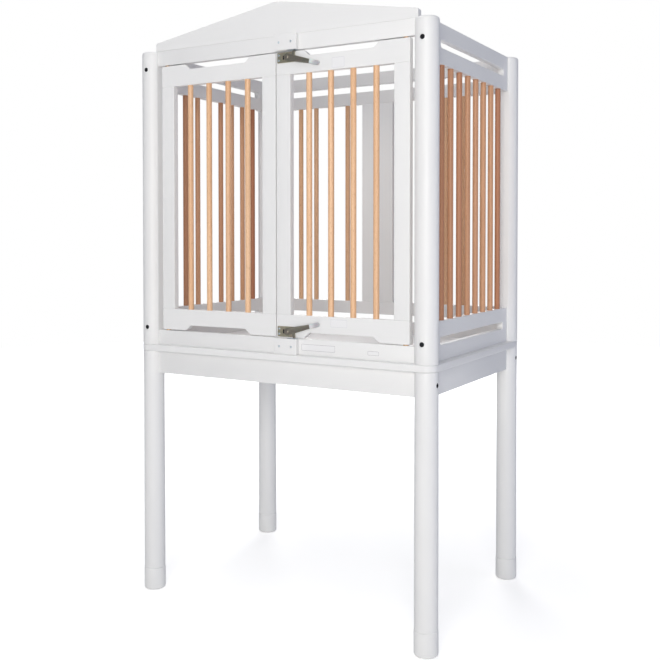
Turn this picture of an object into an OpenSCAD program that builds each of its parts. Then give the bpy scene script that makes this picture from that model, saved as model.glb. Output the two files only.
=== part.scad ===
// Raised nursery cot: a slatted cabin with two front doors on a tall leg frame.
// Origin at the floor, in the middle between the four legs. +X runs along the
// front, +Y to the back, +Z up. All sizes in millimetres.

/* [Overall] */
// Distance between post centres along the front
post_span_x = 950; // [700:10:1300]
// Distance between post centres from front to back
post_span_y = 640; // [500:10:900]
// Height of the post tops above the floor
post_top = 1705; // [1500:5:2100]
// Height of the underside of the platform above the floor
platform_z = 763; // [600:1:900]

/* [Posts and legs] */
// Diameter of the upper posts
post_d = 66; // [56:1:90]
// Rounding of the post tops
post_round = 8; // [2:1:14]
// Diameter of the legs
leg_d = 65; // [56:1:90]
// How much wider than a board its flat on a post or leg is, on each side
flat_margin = 3.75; // [2:0.25:6]
// Height of the foot sleeves
foot_h = 68; // [40:1:110]
// Diameter of the foot sleeves
foot_d = 67; // [58:1:94]
// Rounding under the foot sleeves
foot_round = 6; // [1:1:10]
// Diameter of the turned leg end inside a foot sleeve
spigot_d = 48; // [30:1:52]
// Thickness of the floor of a foot sleeve
foot_floor = 16; // [6:1:30]

/* [Boards] */
// Thickness of rails, aprons, stiles and pediment
board_t = 20; // [16:1:26]
// Small rounding along the board edges
edge_r = 1.5; // [0.5:0.5:4]
// Thickness of the platform board
platform_t = 20; // [15:1:30]
// Rounding around the rim of the platform board
rim_r = 4; // [1:0.5:7]
// Height of the aprons under the platform
apron_h = 71; // [60:1:110]
// Height of the two front rails
front_rail_h = 46; // [44:1:80]
// Height of the side and back rails
grip_rail_h = 110; // [100:1:150]
// Distance from the top of the side and back rails up to the post tops
grip_rail_drop = 2; // [0:1:20]
// Height of the hand slots
slot_h = 22; // [15:1:30]
// Corner radius of the hand slots
slot_r = 9; // [4:0.5:11]
// Distance from the end of a rail to its hand slot
slot_from_end = 38; // [34:1:90]

/* [Pediment] */
// Distance from a post centre in to the end of the pediment
pediment_inset = 22; // [6:1:60]
// Height of the pediment at its middle
pediment_h = 100; // [60:1:160]
// Height of the pediment at its ends
pediment_end_h = 26; // [15:1:40]
// Radius at the peak
peak_r = 120; // [30:5:200]
// Radius at the end corners
pediment_corner_r = 8; // [2:1:12]

/* [Bars] */
// Diameter of the round bars
bar_d = 17; // [14:0.5:19]
// Depth of each bar end in its rail
bar_seat = 14; // [8:1:25]
// Number of bars in each side
side_bars = 8; // [6:1:10]
// Distance from a post centre to the first bar of a side
side_bar_inset = 95; // [70:1:120]
// Number of bars on each half of the back
back_bars_half = 5; // [3:1:6]
// Distance from a post centre to the first bar of the back
back_bar_inset = 87; // [70:1:120]
// Distance from the centre board edge to the nearest bar centre
back_bar_from_board = 64; // [40:1:90]
// Width of the board in the middle of the back
centre_board_w = 120; // [80:2:160]

/* [Doors] */
// Gap between a post and the outer edge of its door
door_side_gap = 13; // [10:0.5:30]
// Gap between the two closed doors
door_meet_gap = 4; // [2:0.5:8]
// Gap above and below the doors
door_gap = 3; // [2:0.5:5]
// Height of the top and bottom rails of a door
door_rail_h = 65; // [55:1:90]
// Width of the stiles of a door
stile_w = 47; // [38:1:70]
// Number of bars in each door
door_bars = 4; // [3:1:5]
// Distance from the inner edge of a stile to the nearest bar centre
door_bar_inset = 58.5; // [40:0.5:80]
// Distance from the end of a door rail to its hand notch
notch_inset = 87.5; // [60:0.5:120]
// Depth of the finger notch
notch_depth = 16; // [8:1:25]
// Length of the curved run at each end of the notch
notch_ramp = 26; // [10:1:40]

/* [Hinges] */
// Distance from the outer edge of a door to its hinge axis
hinge_inset = 15; // [12:0.5:22]
// Diameter of the hinge pins
pin_d = 8; // [6:0.5:10]
// Depth of a hinge pin in its rail and in its door
pin_depth = 24; // [15:1:30]
// Diameter of the hinge washers
washer_d = 16; // [12:0.5:18]
// Radial running clearance of a pin in its door
pin_run = 0.06; // [0.03:0.01:0.1]
// Clearance between a washer and its door
washer_play = 0.4; // [0.2:0.1:0.8]

/* [Latches] */
// Distance from the meeting line of the doors to the latch plate
latch_inset = 4; // [3:0.5:12]
// Width of the latch plate
latch_plate_w = 60; // [44:1:80]
// Height of the latch plate
latch_plate_h = 30; // [24:1:40]
// Thickness of the latch plate
latch_plate_t = 2; // [1:0.5:3]
// Height of the boss pressed up round the pivot, more than a screw head
boss_h = 2.1; // [1.8:0.1:3]
// Distance from the edge of the latch plate to the lever pivot
pivot_inset = 36; // [22:1:40]
// Diameter of the lever pivot
pivot_d = 6; // [4:0.5:8]
// Diameter of the head on the lever pivot
pivot_head_d = 11; // [8:0.5:14]
// Height of the head on the lever pivot
pivot_head_h = 2; // [1:0.5:3]
// Length of the steel lever from its pivot
lever_len = 90; // [70:1:130]
// Thickness of the lever
lever_t = 3; // [2:0.5:4]
// Width of the lever at its pivot
lever_root_w = 24; // [18:1:28]
// Width of the lever at its end
lever_end_w = 13; // [8:0.5:18]
// Angle of the released lever away from the rail
lever_rest = 14; // [10:1:20]
// Length of the plastic grip
grip_len = 33; // [20:1:50]
// Length of the steel inside the grip
grip_overlap = 12; // [6:1:18]
// Distance from the pivot to the middle of the locking nose
nose_at = 19; // [18:1:28]
// Width of the locking nose
nose_w = 8; // [6:0.5:12]
// Width of the strike block
block_w = 76; // [60:1:110]
// Thickness of the strike block
block_t = 15; // [12:0.5:22]
// Distance between the screws of the strike block
block_screw_pitch = 41; // [26:1:60]
// Thickness of the steel strike plate
strike_plate_t = 1.2; // [0.8:0.1:1.6]
// Width of the steel strike plate
strike_plate_w = 32; // [28:1:36]
// Wall of the plastic grip
grip_wall = 1.6; // [1:0.1:2.2]

/* [Fasteners] */
// Diameter of the frame bolts
bolt_d = 6; // [5:0.5:8]
// Diameter of the bolt heads
bolt_head_d = 13; // [10:0.5:15]
// Height of the bolt heads
bolt_head_h = 6; // [4:0.5:8]
// Diameter of the barrel nuts
nut_d = 10; // [9:0.5:12]
// Distance from the end of a board to its barrel nut
nut_from_end = 20; // [15:1:24]
// Diameter of the frame dowels
dowel_d = 8; // [6:0.5:10]
// Depth of each dowel in each of its two pieces
dowel_seat = 16; // [10:1:18]
// Diameter of the studs that hold post, platform and leg together
stud_d = 8; // [6:0.5:10]
// Depth of a corner stud in its post
stud_in_post = 38; // [25:1:45]
// Depth of a corner stud in its leg
stud_in_leg = 22; // [15:1:28]
// Clearance around dowels, studs and bolts
fit_play = 0.1; // [0.05:0.05:0.5]
// Diameter of the small screws
screw_d = 3; // [2.5:0.5:4]
// Diameter of the heads of the small screws
screw_head_d = 6.5; // [5:0.5:8]
// Height of the heads of the small screws
screw_head_h = 1.6; // [1:0.2:2.4]
// Depth of the small screws in the wood
screw_deep = 12; // [8:1:16]

/* [Hidden] */
$fn = 64;

// colours
lacquer = [0.92, 0.92, 0.91];
beech = [0.90, 0.70, 0.52];
zinc = [0.62, 0.60, 0.53];
brass = [0.80, 0.60, 0.35];
black_steel = [0.10, 0.10, 0.11];
milky = [0.86, 0.87, 0.88];

// corner places and the signs that reach them
half_x = post_span_x / 2;
half_y = post_span_y / 2;
pediment_len = post_span_x - 2 * pediment_inset;
post_r = post_d / 2;
leg_r = leg_d / 2;
flat_half = board_t / 2 + flat_margin;
post_flat = sqrt(post_r * post_r - flat_half * flat_half);
leg_flat = sqrt(leg_r * leg_r - flat_half * flat_half);
corners = [[-1, -1], [1, -1], [-1, 1], [1, 1]];

// heights, bottom to top
platform_top = platform_z + platform_t;
apron_mid = platform_z - apron_h / 2;
low_rail_top = platform_top + front_rail_h;
high_rail_z = post_top - front_rail_h;
door_z0 = low_rail_top + door_gap;
door_z1 = high_rail_z - door_gap;
door_mid = (door_z0 + door_z1) / 2;
low_grip_mid = platform_top + grip_rail_h / 2;
high_grip_mid = post_top - grip_rail_drop - grip_rail_h / 2;
grip_bar_z0 = platform_top + grip_rail_h;
grip_bar_z1 = high_grip_mid - grip_rail_h / 2;

// lengths of the boards between their flats
rail_run_x = post_span_x - 2 * post_flat;
rail_run_y = post_span_y - 2 * post_flat;
apron_run_x = post_span_x - 2 * leg_flat;
apron_run_y = post_span_y - 2 * leg_flat;
slot_run_x = rail_run_x - 2 * slot_from_end;
slot_run_y = rail_run_y - 2 * slot_from_end;

// front faces
front_face = -half_y - board_t / 2;

// doors, as distances from the middle plane
door_in = door_meet_gap / 2;
door_out = half_x - post_r - door_side_gap;
door_w = door_out - door_in;
door_mid_x = (door_in + door_out) / 2;
notch_len = door_w - 2 * notch_inset;
stile_z0 = door_z0 + door_rail_h;
stile_z1 = door_z1 - door_rail_h;
hinge_x = door_out - hinge_inset;

// latch: the lever lies on the plate, the nose turns up into the strike block
latch_x = door_in + latch_inset;
pivot_x = latch_x + pivot_inset;
plate_edge_gap = 1;
pivot_drop = latch_plate_h / 2 + plate_edge_gap;
plate_face = front_face - latch_plate_t;
lever_gap = 0.3;
lever_back = plate_face - boss_h - lever_gap;
lever_face = lever_back - lever_t;
nose_x = pivot_x + nose_at;
nose_hold = 2.5;
nose_reach = pivot_drop + door_gap + nose_hold;
pocket_w = nose_w + 10;
pocket_y = lever_t + 2;
pocket_h = 12;

// bolts: the head sits just inside the round face, the shank ends past the nut
head_sunk = 0.5;
bolt_hole_r = bolt_d / 2 + fit_play;
head_hole_r = bolt_head_d / 2 + 0.5;
nut_cover = 1;
nut_len = board_t - 6;
nut_mid = board_t / 2 - nut_cover - nut_len / 2;
bolt_past_nut = nut_d / 2 + 3;
dowel_r = dowel_d / 2;
dowel_hole_r = dowel_r + fit_play / 2;
dowel_len = 2 * dowel_seat - 1;
grip_dowel_inset = 20;
apron_dowel_inset = 13;
front_dowel_inset = 11;
grip_dowel_dz = grip_rail_h / 2 - grip_dowel_inset;
apron_dowel_dz = apron_h / 2 - apron_dowel_inset;
front_dowel_dz = front_rail_h / 2 - front_dowel_inset;

// bar places along each panel
side_bar_run = post_span_y - 2 * side_bar_inset;
side_bar_y = [for (i = [0 : side_bars - 1]) side_bar_run * (i / (side_bars - 1) - 0.5)];
back_bar_run = half_x - back_bar_inset - centre_board_w / 2 - back_bar_from_board;
back_bar_x = [for (s = [-1, 1], i = [0 : back_bars_half - 1])
    s * (half_x - back_bar_inset - back_bar_run * i / (back_bars_half - 1))];
door_bar_run = door_w - 2 * stile_w - 2 * door_bar_inset;
door_bar_x = [for (i = [0 : door_bars - 1]) door_mid_x + door_bar_run * (i / (door_bars - 1) - 0.5)];

// ---------------------------------------------------------------- plain shapes

// Rectangle with rounded corners, centred
module soft_rect(w, h, r) {
    square([w - 2 * r, h], center = true);
    square([w, h - 2 * r], center = true);
    for (x = [-1, 1], y = [-1, 1])
        translate([x * (w / 2 - r), y * (h / 2 - r)])
            circle(r);
}

// Board along X, centred, with rounded long edges
module board_x(len, h, t = board_t, r = edge_r) {
    rotate([90, 0, 90])
        linear_extrude(len, center = true)
            soft_rect(t, h, r);
}

// Board along Y, centred, with rounded long edges
module board_y(len, h, t = board_t, r = edge_r) {
    rotate([90, 0, 0])
        linear_extrude(len, center = true)
            soft_rect(t, h, r);
}

// Board standing along Z from z0 to z1, width along X
module board_z(w, z0, z1) {
    translate([0, 0, z0])
        linear_extrude(z1 - z0)
            soft_rect(w, board_t, edge_r);
}

// Round rod along Z, X or Y, centred
module rod_z(len, r) {
    cylinder(h = len, r = r, center = true);
}

module rod_x(len, r) {
    rotate([0, 90, 0])
        rod_z(len, r);
}

module rod_y(len, r) {
    rotate([90, 0, 0])
        rod_z(len, r);
}

// Turned column from z0 to z1 with its top or bottom edge rounded
module column(r, z0, z1, round_top = 0, round_bottom = 0) {
    translate([0, 0, z0])
        rotate_extrude() {
            translate([0, round_bottom])
                square([r, z1 - z0 - round_top - round_bottom]);
            square([r - max(round_top, round_bottom), z1 - z0]);
            if (round_top > 0)
                intersection() {
                    translate([r - round_top, z1 - z0 - round_top])
                        circle(round_top);
                    square([r, z1 - z0]);
                }
            if (round_bottom > 0)
                intersection() {
                    translate([r - round_bottom, round_bottom])
                        circle(round_bottom);
                    square([r, z1 - z0]);
                }
        }
}

// Long hand slot through a board along X
module slot_x(len, t = board_t) {
    rotate([90, 0, 0])
        linear_extrude(t + 2, center = true)
            soft_rect(len, slot_h, slot_r);
}

// Long hand slot through a board along Y
module slot_y(len, t = board_t) {
    rotate([90, 0, 90])
        linear_extrude(t + 2, center = true)
            soft_rect(len, slot_h, slot_r);
}

// ---------------------------------------------------------------- hidden joints

// Each place is [x, y, z, direction]; direction x, y or z is the dowel's axis.
module dowel_at(p, r, len) {
    translate([p[0], p[1], p[2]]) {
        if (p[3] == "x")
            rod_x(len, r);
        if (p[3] == "y")
            rod_y(len, r);
        if (p[3] == "z")
            rod_z(len, r);
    }
}

// Dowels of the front and back rails and aprons lie along X on the post flats
function dowels_x(y, mids, dz, flat) = [for (s = [-1, 1], m = mids, k = [-1, 1])
    [s * (half_x - flat), y, m + k * dz, "x"]];
// Dowels of the side rails and aprons lie along Y on the post flats
function dowels_y(mids, dz, flat) = [for (sx = [-1, 1], sy = [-1, 1], m = mids, k = [-1, 1])
    [sx * half_x, sy * (half_y - flat), m + k * dz, "y"]];

front_rail_mids = [(platform_top + low_rail_top) / 2, (high_rail_z + post_top) / 2];
grip_rail_mids = [low_grip_mid, high_grip_mid];
pediment_dowel_x = [for (k = [-1.5, -0.5, 0.5, 1.5]) k * pediment_len / 5];
board_dowel_x = [for (s = [-1, 1]) s * centre_board_w / 4];
frame_dowel_places = concat(
    dowels_x(-half_y, front_rail_mids, front_dowel_dz, post_flat),
    dowels_x(half_y, grip_rail_mids, grip_dowel_dz, post_flat),
    dowels_y(grip_rail_mids, grip_dowel_dz, post_flat),
    dowels_x(-half_y, [apron_mid], apron_dowel_dz, leg_flat),
    dowels_x(half_y, [apron_mid], apron_dowel_dz, leg_flat),
    dowels_y([apron_mid], apron_dowel_dz, leg_flat),
    [for (x = pediment_dowel_x) [x, -half_y, post_top, "z"]],
    [for (x = board_dowel_x, z = [grip_bar_z0, grip_bar_z1]) [x, half_y, z, "z"]]);
door_dowel_places = [for (x = [door_in + stile_w / 2, door_out - stile_w / 2], k = [-1, 1],
    z = [stile_z0, stile_z1]) [x + k * stile_w / 4, -half_y, z, "z"]];

module dowel_holes(places) {
    for (p = places)
        dowel_at(p, dowel_hole_r, 2 * dowel_seat);
}

// Socket head bolt along +Z through a column of radius reach, into a board on its flat
module bolt(reach, flat) {
    difference() {
        union() {
            translate([0, 0, head_sunk - reach])
                cylinder(h = bolt_head_h, r = bolt_head_d / 2);
            translate([0, 0, head_sunk - reach])
                cylinder(h = reach - head_sunk + flat + nut_from_end + bolt_past_nut, r = bolt_d / 2);
        }
        translate([0, 0, head_sunk - reach - 1])
            cylinder(h = bolt_head_h / 2 + 1, r = bolt_head_d * 0.28, $fn = 6);
    }
}

// Hole for a bolt along +Z, with its sunk head
module bolt_hole(reach, flat) {
    outside = 5;
    past_tip = 2;
    translate([0, 0, -reach - outside])
        cylinder(h = outside + head_sunk + bolt_head_h, r = head_hole_r);
    translate([0, 0, -reach - outside])
        cylinder(h = outside + reach + flat + nut_from_end + bolt_past_nut + past_tip, r = bolt_hole_r);
}

// The bolt places: side rails are bolted from front and back, long aprons from the sides
module each_side_bolt() {
    for (c = corners, z = grip_rail_mids)
        translate([c[0] * half_x, c[1] * half_y, z])
            mirror([0, c[1] > 0 ? 1 : 0, 0])
                rotate([-90, 0, 0])
                    children();
}

module each_apron_bolt() {
    for (c = corners)
        translate([c[0] * half_x, c[1] * half_y, apron_mid])
            mirror([c[0] > 0 ? 1 : 0, 0, 0])
                rotate([0, 90, 0])
                    children();
}

// Barrel nuts lie across their board, just under its inner face. Their children
// have the nut along X, with the open end of its hole at -X, and the bolt along Z.
module each_side_nut() {
    for (c = corners, z = grip_rail_mids)
        translate([c[0] * (half_x - nut_mid), c[1] * (half_y - post_flat - nut_from_end), z])
            mirror([c[0] > 0 ? 0 : 1, 0, 0])
                rotate([90, 0, 0])
                    children();
}

module each_apron_nut() {
    for (c = corners)
        translate([c[0] * (half_x - leg_flat - nut_from_end), c[1] * (half_y - nut_mid), apron_mid])
            mirror([0, c[1] > 0 ? 0 : 1, 0])
                rotate([0, 0, 90])
                    rotate([90, 0, 0])
                        children();
}

// ---------------------------------------------------------------- posts, legs, feet

module corner_post(sx, sy) {
    color(lacquer)
        difference() {
            translate([sx * half_x, sy * half_y, 0])
                difference() {
                    column(post_r, platform_top, post_top, round_top = post_round);
                    for (side = [0, 1])
                        rotate([0, 0, side == 0 ? (sx > 0 ? 180 : 0) : (sy > 0 ? -90 : 90)])
                            translate([post_flat, -post_r, platform_top - 1])
                                cube([post_r, post_d, post_top - platform_top + 2]);
                    translate([0, 0, platform_top - 1])
                        cylinder(h = stud_in_post + 2, r = stud_d / 2 + fit_play);
                }
            each_side_bolt()
                bolt_hole(post_r, post_flat);
            dowel_holes(frame_dowel_places);
        }
}

module corner_leg(sx, sy) {
    color(lacquer)
        difference() {
            translate([sx * half_x, sy * half_y, 0])
                difference() {
                    union() {
                        column(leg_r, foot_h, platform_z);
                        column(spigot_d / 2, foot_floor + 1, foot_h + 1);
                    }
                    for (side = [0, 1])
                        rotate([0, 0, side == 0 ? (sx > 0 ? 180 : 0) : (sy > 0 ? -90 : 90)])
                            translate([leg_flat, -leg_r, platform_z - apron_h])
                                cube([leg_r, leg_d, apron_h + 1]);
                    translate([0, 0, platform_z - stud_in_leg - 1])
                        cylinder(h = stud_in_leg + 2, r = stud_d / 2 + fit_play);
                }
            each_apron_bolt()
                bolt_hole(leg_r, leg_flat);
            dowel_holes(frame_dowel_places);
        }
}

module foot_sleeve(sx, sy) {
    color(lacquer)
        translate([sx * half_x, sy * half_y, 0])
            difference() {
                column(foot_d / 2, 0, foot_h, round_bottom = foot_round);
                translate([0, 0, foot_floor])
                    cylinder(h = foot_h, r = spigot_d / 2 + fit_play);
            }
}

// ---------------------------------------------------------------- platform and aprons

// The platform reaches the outside of the posts; its corners follow them
module platform_board() {
    mid_z = platform_z + platform_t / 2;
    color(lacquer)
        difference() {
            union() {
                translate([0, 0, mid_z])
                    board_x(post_span_x, platform_t, post_span_y + post_d, rim_r);
                translate([0, 0, mid_z])
                    board_y(post_span_y, platform_t, post_span_x + post_d, rim_r);
                for (c = corners)
                    translate([c[0] * half_x, c[1] * half_y, 0])
                        column(post_r, platform_z, platform_top, rim_r, rim_r);
            }
            for (c = corners)
                translate([c[0] * half_x, c[1] * half_y, mid_z])
                    rod_z(platform_t + 2, stud_d / 2 + fit_play);
        }
}

module apron_x(sy) {
    color(lacquer)
        difference() {
            translate([0, sy * half_y, apron_mid])
                board_x(apron_run_x, apron_h);
            each_apron_bolt()
                bolt_hole(leg_r, leg_flat);
            each_apron_nut()
                nut_hole();
            dowel_holes(frame_dowel_places);
        }
}

module apron_y(sx) {
    color(lacquer)
        difference() {
            translate([sx * half_x, 0, apron_mid])
                board_y(apron_run_y, apron_h);
            dowel_holes(frame_dowel_places);
        }
}

// ---------------------------------------------------------------- front frame

module front_rail(mid) {
    color(lacquer)
        difference() {
            translate([0, -half_y, mid])
                board_x(rail_run_x, front_rail_h);
            dowel_holes(frame_dowel_places);
            hinge_pin_holes(fit_play / 5);
            strike_screw_holes();
        }
}

// Gable outline: straight slopes, tangent to the arc at the peak and at each end
module pediment_outline() {
    half = pediment_len / 2;
    rise = pediment_h - peak_r - pediment_end_h;
    slope = atan2(rise, half) + asin(peak_r / norm([half, rise]));
    corner = [half - pediment_corner_r,
        pediment_end_h - pediment_corner_r * (1 - sin(slope)) / cos(slope)];
    steps = 8;
    end_arc = [for (i = [0 : steps]) corner + pediment_corner_r * [cos((90 - slope) * i / steps),
        sin((90 - slope) * i / steps)]];
    peak_arc = [for (i = [0 : steps]) [0, pediment_h - peak_r] + peak_r * [sin(slope * (1 - i / steps)),
        cos(slope * (1 - i / steps))]];
    right_side = concat([[half, 0]], end_arc, peak_arc);
    left_side = [for (i = [len(right_side) - 2 : -1 : 0]) [-right_side[i][0], right_side[i][1]]];
    polygon(concat(right_side, left_side));
}

module front_pediment() {
    color(lacquer)
        difference() {
            translate([0, -half_y, post_top])
                rotate([90, 0, 0])
                    linear_extrude(board_t, center = true)
                        pediment_outline();
            dowel_holes(frame_dowel_places);
        }
}

// ---------------------------------------------------------------- back and side panels

module bars_at(places, z0, z1) {
    color(beech)
        for (p = places)
            translate([p[0], p[1], z0 - bar_seat])
                cylinder(h = z1 - z0 + 2 * bar_seat, r = bar_d / 2);
}

module bar_holes(places, z0, z1) {
    for (p = places)
        translate([p[0], p[1], z0 - bar_seat])
            cylinder(h = z1 - z0 + 2 * bar_seat, r = bar_d / 2 + fit_play / 2);
}

back_bar_places = [for (x = back_bar_x) [x, half_y]];
left_bar_places = [for (y = side_bar_y) [-half_x, y]];
right_bar_places = [for (y = side_bar_y) [half_x, y]];

module back_rail(mid) {
    color(lacquer)
        difference() {
            translate([0, half_y, mid])
                board_x(rail_run_x, grip_rail_h);
            translate([0, half_y, mid])
                slot_x(slot_run_x);
            bar_holes(back_bar_places, grip_bar_z0, grip_bar_z1);
            dowel_holes(frame_dowel_places);
        }
}

module back_centre_board() {
    color(lacquer)
        difference() {
            translate([0, half_y, 0])
                board_z(centre_board_w, grip_bar_z0, grip_bar_z1);
            dowel_holes(frame_dowel_places);
        }
}

module side_rail(sx, mid) {
    color(lacquer)
        difference() {
            translate([sx * half_x, 0, mid])
                board_y(rail_run_y, grip_rail_h);
            translate([sx * half_x, 0, mid])
                slot_y(slot_run_y);
            bar_holes(sx > 0 ? right_bar_places : left_bar_places, grip_bar_z0, grip_bar_z1);
            each_side_bolt()
                bolt_hole(post_r, post_flat);
            each_side_nut()
                nut_hole();
            dowel_holes(frame_dowel_places);
        }
}

// ---------------------------------------------------------------- doors

door_bar_places = [for (x = door_bar_x) [x, -half_y]];

// Outline cut out of a door rail's outer edge; the ends follow half a cosine wave
module notch_outline() {
    steps = 12;
    half = notch_len / 2;
    ramp = [for (i = [0 : steps]) [half - notch_ramp * i / steps,
        -notch_depth * (1 - cos(180 * i / steps)) / 2]];
    right_side = concat([[half, 1]], ramp);
    left_side = [for (i = [len(right_side) - 1 : -1 : 0]) [-right_side[i][0], right_side[i][1]]];
    polygon(concat(right_side, left_side));
}

// Door rail with the notch on its outer edge: up is 1 for the top rail, -1 for the bottom rail
module door_rail(up, with_latch) {
    edge_z = up > 0 ? door_z1 : door_z0;
    color(lacquer)
        difference() {
            translate([door_mid_x, -half_y, edge_z - up * door_rail_h / 2])
                board_x(door_w, door_rail_h);
            translate([door_mid_x, -half_y, edge_z])
                mirror([0, 0, up > 0 ? 0 : 1])
                    rotate([90, 0, 0])
                        linear_extrude(board_t + 2, center = true)
                            notch_outline();
            bar_holes(door_bar_places, stile_z0, stile_z1);
            dowel_holes(door_dowel_places);
            hinge_pin_holes(pin_run);
            if (with_latch)
                latch_holes();
        }
}

module door_stile(x_mid) {
    color(lacquer)
        difference() {
            translate([x_mid, -half_y, 0])
                board_z(stile_w, stile_z0, stile_z1);
            dowel_holes(door_dowel_places);
        }
}

// Everything in a door is drawn for the right door; the left one is its mirror image
module on_left() {
    mirror([1, 0, 0])
        children();
}

module door_dowels() {
    color(beech)
        for (p = door_dowel_places)
            dowel_at(p, dowel_r, dowel_len);
}

// ---------------------------------------------------------------- hinges

module each_hinge() {
    for (s = [-1, 1], z = [low_rail_top + door_gap / 2, high_rail_z - door_gap / 2])
        translate([s * hinge_x, -half_y, z])
            children();
}

module hinge_pins() {
    color(brass)
        each_hinge()
            rod_z(door_gap + 2 * pin_depth - 1, pin_d / 2);
}

module hinge_pin_holes(play) {
    each_hinge()
        rod_z(door_gap + 2 * pin_depth, pin_d / 2 + play);
}

// Each washer lies against its rail, and its door turns just clear of it
module hinge_washers() {
    color(brass)
        for (s = [-1, 1], up = [-1, 1])
            translate([s * hinge_x, -half_y, up > 0 ? high_rail_z : low_rail_top])
                mirror([0, 0, up > 0 ? 1 : 0])
                    difference() {
                        cylinder(h = door_gap - washer_play, r = washer_d / 2);
                        translate([0, 0, -1])
                            cylinder(h = door_gap + 2, r = pin_d / 2 + fit_play / 5);
                    }
}

// ---------------------------------------------------------------- latches

// Latch parts are drawn for the top of the right door; the bottom ones are mirrored
module at_bottom() {
    translate([0, 0, 2 * door_mid])
        mirror([0, 0, 1])
            children();
}

module at_both_ends() {
    children();
    at_bottom()
        children();
}

// Moves to the pivot, with +Y of the children up the door and +Z out of its face
module at_pivot(y) {
    translate([pivot_x, y, door_z1 - pivot_drop])
        rotate([90, 0, 0])
            children();
}

plate_screw_places = [for (x = [5.5, latch_plate_w - 5.5], y = [-1, 1])
    [x - pivot_inset, y * latch_plate_h / 4]];

module latch_plate() {
    color(zinc)
        at_pivot(front_face)
            difference() {
                union() {
                    translate([latch_plate_w / 2 - pivot_inset, 0, 0])
                        linear_extrude(latch_plate_t)
                            soft_rect(latch_plate_w, latch_plate_h, 3);
                    cylinder(h = latch_plate_t + boss_h, r = pivot_head_d / 2);
                }
                translate([0, 0, -1])
                    cylinder(h = latch_plate_t + boss_h + 2, r = pivot_d / 2 + fit_play / 5);
                translate([-lever_root_w / 2 - 3, 0, -1])
                    linear_extrude(latch_plate_t + 2)
                        soft_rect(3.5, 11, 1);
                for (p = plate_screw_places)
                    translate([p[0], p[1], -1])
                        cylinder(h = latch_plate_t + 2, r = screw_d / 2 + fit_play);
            }
}

// Tapered strip from the pivot, its nose on the side of the rail, cut square at the end
module lever_outline() {
    circle(lever_root_w / 2);
    polygon([[0, -lever_root_w / 2], [lever_len, -lever_end_w / 2],
        [lever_len, lever_end_w / 2], [0, lever_root_w / 2]]);
}

module lever_shape() {
    difference() {
        union() {
            linear_extrude(lever_t)
                rotate([0, 0, -lever_rest])
                    lever_outline();
            linear_extrude(lever_t)
                rotate([0, 0, -lever_rest])
                    translate([nose_at - nose_w / 2, 0])
                        square([nose_w, nose_reach]);
        }
        translate([0, 0, -1])
            cylinder(h = lever_t + 2, r = pivot_d / 2 + pin_run);
    }
}

module latch_lever() {
    color(zinc)
        at_pivot(lever_back)
            lever_shape();
}

// Plastic sleeve over the end of the lever
module latch_grip() {
    color(milky)
        at_pivot(lever_back)
            rotate([0, 0, -lever_rest])
                difference() {
                    translate([lever_len - grip_overlap, 0, -grip_wall])
                        linear_extrude(lever_t + 2 * grip_wall)
                            grip_outline();
                    linear_extrude(lever_t)
                        lever_outline();
                }
}

module grip_outline() {
    end_r = lever_end_w / 2 + grip_wall;
    translate([0, -end_r])
        square([grip_len - end_r, 2 * end_r]);
    translate([grip_len - end_r, 0])
        circle(end_r);
}

module latch_pivot() {
    head_z = latch_plate_t + boss_h + 2 * lever_gap + lever_t;
    color(zinc)
        at_pivot(front_face) {
            translate([0, 0, -screw_deep])
                cylinder(h = screw_deep + head_z + pivot_head_h / 2, r = pivot_d / 2);
            translate([0, 0, head_z])
                cylinder(h = pivot_head_h, r = pivot_head_d / 2);
        }
}

// Pan head screw: the head lies on its seat at z = 0, the shank goes down
module pan_screw(deep) {
    difference() {
        union() {
            cylinder(h = screw_head_h, r = screw_head_d / 2);
            translate([0, 0, -deep])
                cylinder(h = deep + 0.5, r = screw_d / 2);
        }
        for (a = [0, 90])
            rotate([0, 0, a])
                translate([-1.7, -0.4, screw_head_h - 0.9])
                    cube([3.4, 0.8, 2]);
    }
}

module latch_screw_set() {
    color(zinc)
        at_pivot(plate_face)
            for (p = plate_screw_places)
                translate([p[0], p[1], 0])
                    pan_screw(screw_deep);
}

// Holes for the plate screws and the pivot, in the door's wood
module latch_holes() {
    at_both_ends()
        at_pivot(front_face) {
            for (p = plate_screw_places)
                translate([p[0], p[1], -screw_deep])
                    cylinder(h = screw_deep + 1, r = screw_d / 2 + fit_play / 5);
            translate([0, 0, -screw_deep])
                cylinder(h = screw_deep + 1, r = pivot_d / 2 + fit_play / 5);
        }
}

// ---------------------------------------------------------------- strikes

// The block lies on the rail's front face, above the latch
module strike_block() {
    color(lacquer)
        difference() {
            translate([door_in + block_w / 2, front_face - block_t / 2, high_rail_z + front_rail_h / 2])
                board_x(block_w, front_rail_h, block_t, edge_r);
            strike_pocket();
            strike_screw_holes();
        }
}

// Room for the nose when the lever is turned up
module strike_pocket() {
    translate([nose_x - pocket_w / 2, lever_face - 1, high_rail_z - 1])
        cube([pocket_w, pocket_y, pocket_h + 1]);
}

// Thin steel plate under the block, with the slot that the nose goes through
module strike_plate() {
    edge = 2;
    color(zinc)
        difference() {
            translate([nose_x - strike_plate_w / 2, front_face - block_t + edge, high_rail_z - strike_plate_t])
                cube([strike_plate_w, block_t - edge - 0.5, strike_plate_t]);
            translate([0, 0, -strike_plate_t])
                strike_pocket();
        }
}

module each_strike_screw() {
    for (s = [-1, 1])
        translate([door_in + block_w / 2 + s * block_screw_pitch / 2, front_face - block_t,
            high_rail_z + front_rail_h / 2])
            rotate([90, 0, 0])
                children();
}

module strike_screw_holes() {
    at_both_ends()
        each_strike_screw()
            translate([0, 0, -block_t - screw_deep])
                cylinder(h = block_t + screw_deep + 1, r = screw_d / 2 + fit_play / 5);
}

module strike_screw_set() {
    color(zinc)
        each_strike_screw()
            pan_screw(block_t + screw_deep);
}

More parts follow.
